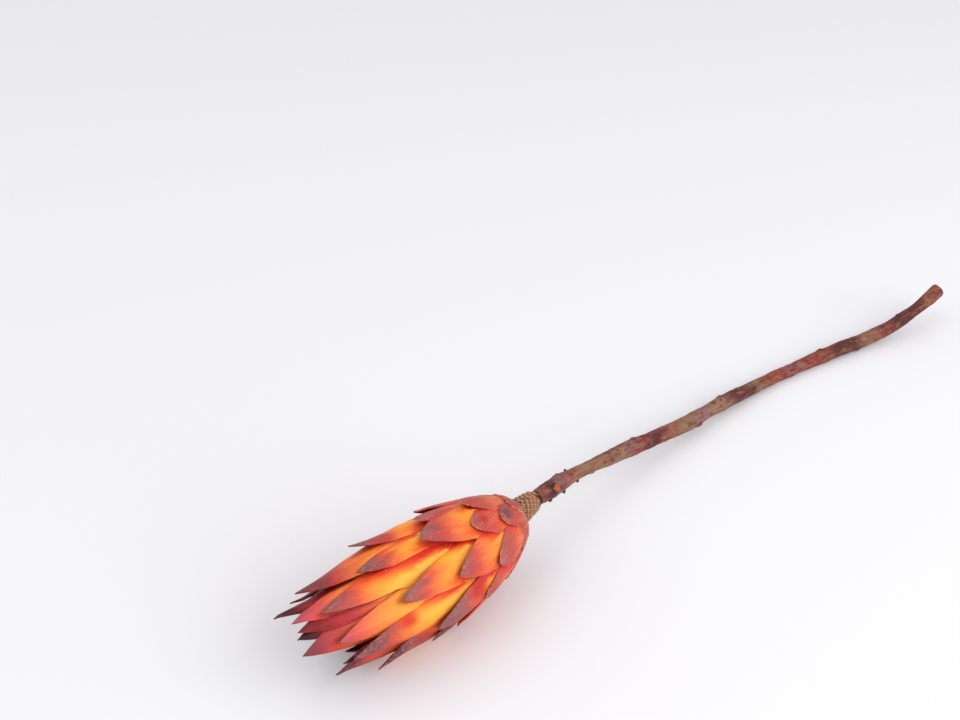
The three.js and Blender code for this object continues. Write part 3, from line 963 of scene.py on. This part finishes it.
colour = (knob * 0.5).over(colour, tint("c0683c"))
colour = start.times(colour, 0.52 + fibre * 0.46)
wire(start, shader, Base_Color=colour, Roughness=0.5 + fibre * 0.3,
     Normal=start.bump(fibre * 0.6 + crack * 0.5, 0.8))

cut_wood, start, shader = new_finish("cut_wood", Roughness=0.8, Specular_IOR_Level=0.25)
skin = start.attribute("bark")
rings = skin.stretched(1, 1, 0).mottle(1.1, detail=4.0, roughness=0.6)
x, y, _ = skin.parts()
radius = start.math("SQRT", x * x + y * y)
colour = (radius + (rings - 0.5) * 0.8).ramp([
    (0.0, tint("b5532b")), (0.12, tint("e0935c")), (0.6, tint("d8703c")), (0.9, tint("c2502c"))])
colour = radius.rise(2.4, 3.1).over(colour, tint("5a211c"))
wire(start, shader, Base_Color=colour, Normal=start.bump(rings, 0.5))

mesh = bmesh.new()
bark_layer = mesh.verts.layers.float_vector.new("bark")
marks_layer = mesh.verts.layers.float_vector.new("marks")
bands_layer = mesh.verts.layers.float_vector.new("bands")
bmesh.ops.create_grid(mesh, x_segments=stem_columns, y_segments=stem_rows, size=1)
for vert in mesh.verts:
    row = round((vert.co.y + 1) / 2 * stem_rows)
    angle = vert.co.x * math.pi
    inset = clamp01(max(cap_rows - row, row - stem_rows + cap_rows) / cap_rows)
    s = stem_length * clamp01((row - cap_rows) / (stem_rows - 2 * cap_rows))
    wrinkle = bark_noise(angle, s, wrinkle_pace, wrinkle_seed)
    lump = bark_noise(angle, s, lump_pace, lump_seed)
    pit = bark_noise(angle, s, pit_pace, pit_seed)
    raised, darkness = scars_at(angle, s, pit)
    rough = wrinkle_depth * wrinkle + lump_depth * lump + pit_depth * pit
    radius = (stem_radius_at(s) + rough + raised) * (1 - inset)
    wander = s + lump_wander * lump + wrinkle_wander * wrinkle
    vert[bark_layer] = (math.cos(angle) * radius, math.sin(angle) * radius, s)
    vert[marks_layer] = (darkness, clamp01(lump * 2 - 0.6), banded(mauve_bands, wander))
    vert[bands_layer] = (banded(dark_bands, wander), banded(tan_bands, wander), banded(red_bands, wander))
    vert.co = set_down(beside(stem_frame(s), -angle, radius))
close_seams(mesh, stem_seam_gap)
stem_end = stem_frame(stem_length)
for face in mesh.faces:
    from_end = (face.calc_center_median() / mm - to_origin - stem_end.at).dot(stem_end.ahead)
    if abs(from_end) < cut_reach and abs(face.normal.dot(stem_end.ahead)) > cut_facing:
        face.material_index = 1
stem = made_piece("stem_branch", mesh, [bark, cut_wood])
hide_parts("stem")

# A bud and dry stubs on the stem near the neck. The bud is a small swollen knob, orange-red; the
# stubs are what is left of broken side twigs, almost black. Both grow out of the bark.
stub_root = 0.6
stub_columns = 20
stub_rows = 14
stub_pace = 2.1
stub_roughness = 0.16
bud_split_depth = 0.18
bud_split_width = 0.16
# Place along the stem, side in degrees, radius, length, and 1 for the bud.
stubs = [
    (8, 52, 2.1, 1.5, 1), (14.5, 140, 0.9, 1.6, 0), (6, 140, 1, 1.5, 0), (19.5, -40, 0.7, 1.4, 0),
    (23, 130, 0.8, 1.3, 0),
]

bud_skin, start, shader = new_finish("bud_skin", Specular_IOR_Level=0.4)
grain = start.object_place().mottle(800.0, detail=4.0, roughness=0.65)
dark, middle, _ = start.attribute("marks").parts()
# The bud darkens towards its root: painted shade of the groove where it meets the bark.
colour = (grain + (middle - 0.8) * 0.8).rise(0.3, 0.6).over(tint("34150f"), tint("b4582c"))
colour = dark.over(colour, tint("4a2824"))
wire(start, shader, Base_Color=colour, Roughness=0.45 + grain * 0.2, Normal=start.bump(grain, 0.5))

mesh = bmesh.new()
marks_layer = mesh.verts.layers.float_vector.new("marks")
for number, (place, side, radius, length, bud) in enumerate(stubs):
    line = stem_frame(place)
    out = (beside(line, math.radians(side), 1) - line.at).normalized()
    turned = Matrix((line.ahead, out.cross(line.ahead), out)).transposed()
    root = beside(line, math.radians(side), stem_radius_at(place) - stub_root)
    ball = bmesh.ops.create_uvsphere(mesh, u_segments=stub_columns, v_segments=stub_rows, radius=1)
    for vert in ball["verts"]:
        rough = 1 + stub_roughness * noise.noise(vert.co * stub_pace + Vector((number * 7, 0, 0)))
        groove = math.exp(-(vert.co.x / bud_split_width) ** 2) * max(0, vert.co.z)
        x, y, z = vert.co * rough
        vert[marks_layer] = (1 - bud, vert.co.z, 0)
        tall = length * (1 - bud_split_depth * groove * bud)
        vert.co = set_down(root + turned @ Vector((x * radius, y * radius, z * tall)))
made_piece("buds_and_stubs", mesh, [bud_skin])

# The table that the flower lies on: a wide flat sheet, pale and slightly glossy. It belongs to the
# stage and not to the part.
table_half_width = 4000
table_skin, _, _ = new_finish("pale_table", Base_Color=(0.8, 0.795, 0.81, 1), Roughness=0.32,
                              Specular_IOR_Level=0.35)
mesh = bmesh.new()
bmesh.ops.create_grid(mesh, x_segments=1, y_segments=1, size=table_half_width * mm)
made_object("table_top", mesh, [table_skin])

# The camera, where the photograph was taken from: above the bloom's mouth, looking down along it.
camera_place = Vector((-293.231, -255.5, 355))
camera_aim = Vector((0.4878, 0.6189, -0.6157))
camera_lens = 49.99
sensor_width = 36
nearest_seen = 10

camera_data = bpy.data.cameras.new("camera")
camera_data.sensor_width = sensor_width
camera_data.lens = camera_lens
camera_data.clip_start = nearest_seen * mm
camera = bpy.data.objects.new("camera", camera_data)
bpy.context.scene.collection.objects.link(camera)
camera.location = camera_place * mm
camera.rotation_mode = "QUATERNION"
camera.rotation_quaternion = camera_aim.to_track_quat("-Z", "Y")
bpy.context.scene.camera = camera

# The studio's soft light: a pale sky, a square lamp high on the left and one on the right, nearer to
# the camera.
lit_place = Vector((-50, 0, 0))


def soft_box(name, place, width, power, colour):
    """A square lamp turned to the flower."""
    light = bpy.data.lights.new(name, "AREA")
    light.shape = "SQUARE"
    light.size = width * mm
    light.energy = power
    light.color = colour
    box = bpy.data.objects.new(name, light)
    bpy.context.scene.collection.objects.link(box)
    box.location = Vector(place) * mm
    box.rotation_mode = "QUATERNION"
    box.rotation_quaternion = (lit_place - Vector(place)).to_track_quat("-Z", "Y")


soft_box("left_lamp", (-750, 350, 950), 1300, 4.2, (1, 0.985, 0.96))
soft_box("right_lamp", (250, -850, 600), 1200, 9, (0.97, 0.98, 1))
world = bpy.data.worlds.new("studio")
world.use_nodes = True
sky = world.node_tree.nodes["Background"].inputs
sky["Color"].default_value = (0.97, 0.97, 1, 1)
sky["Strength"].default_value = 0.77
bpy.context.scene.world = world
bpy.context.scene.view_settings.view_transform = "Standard"
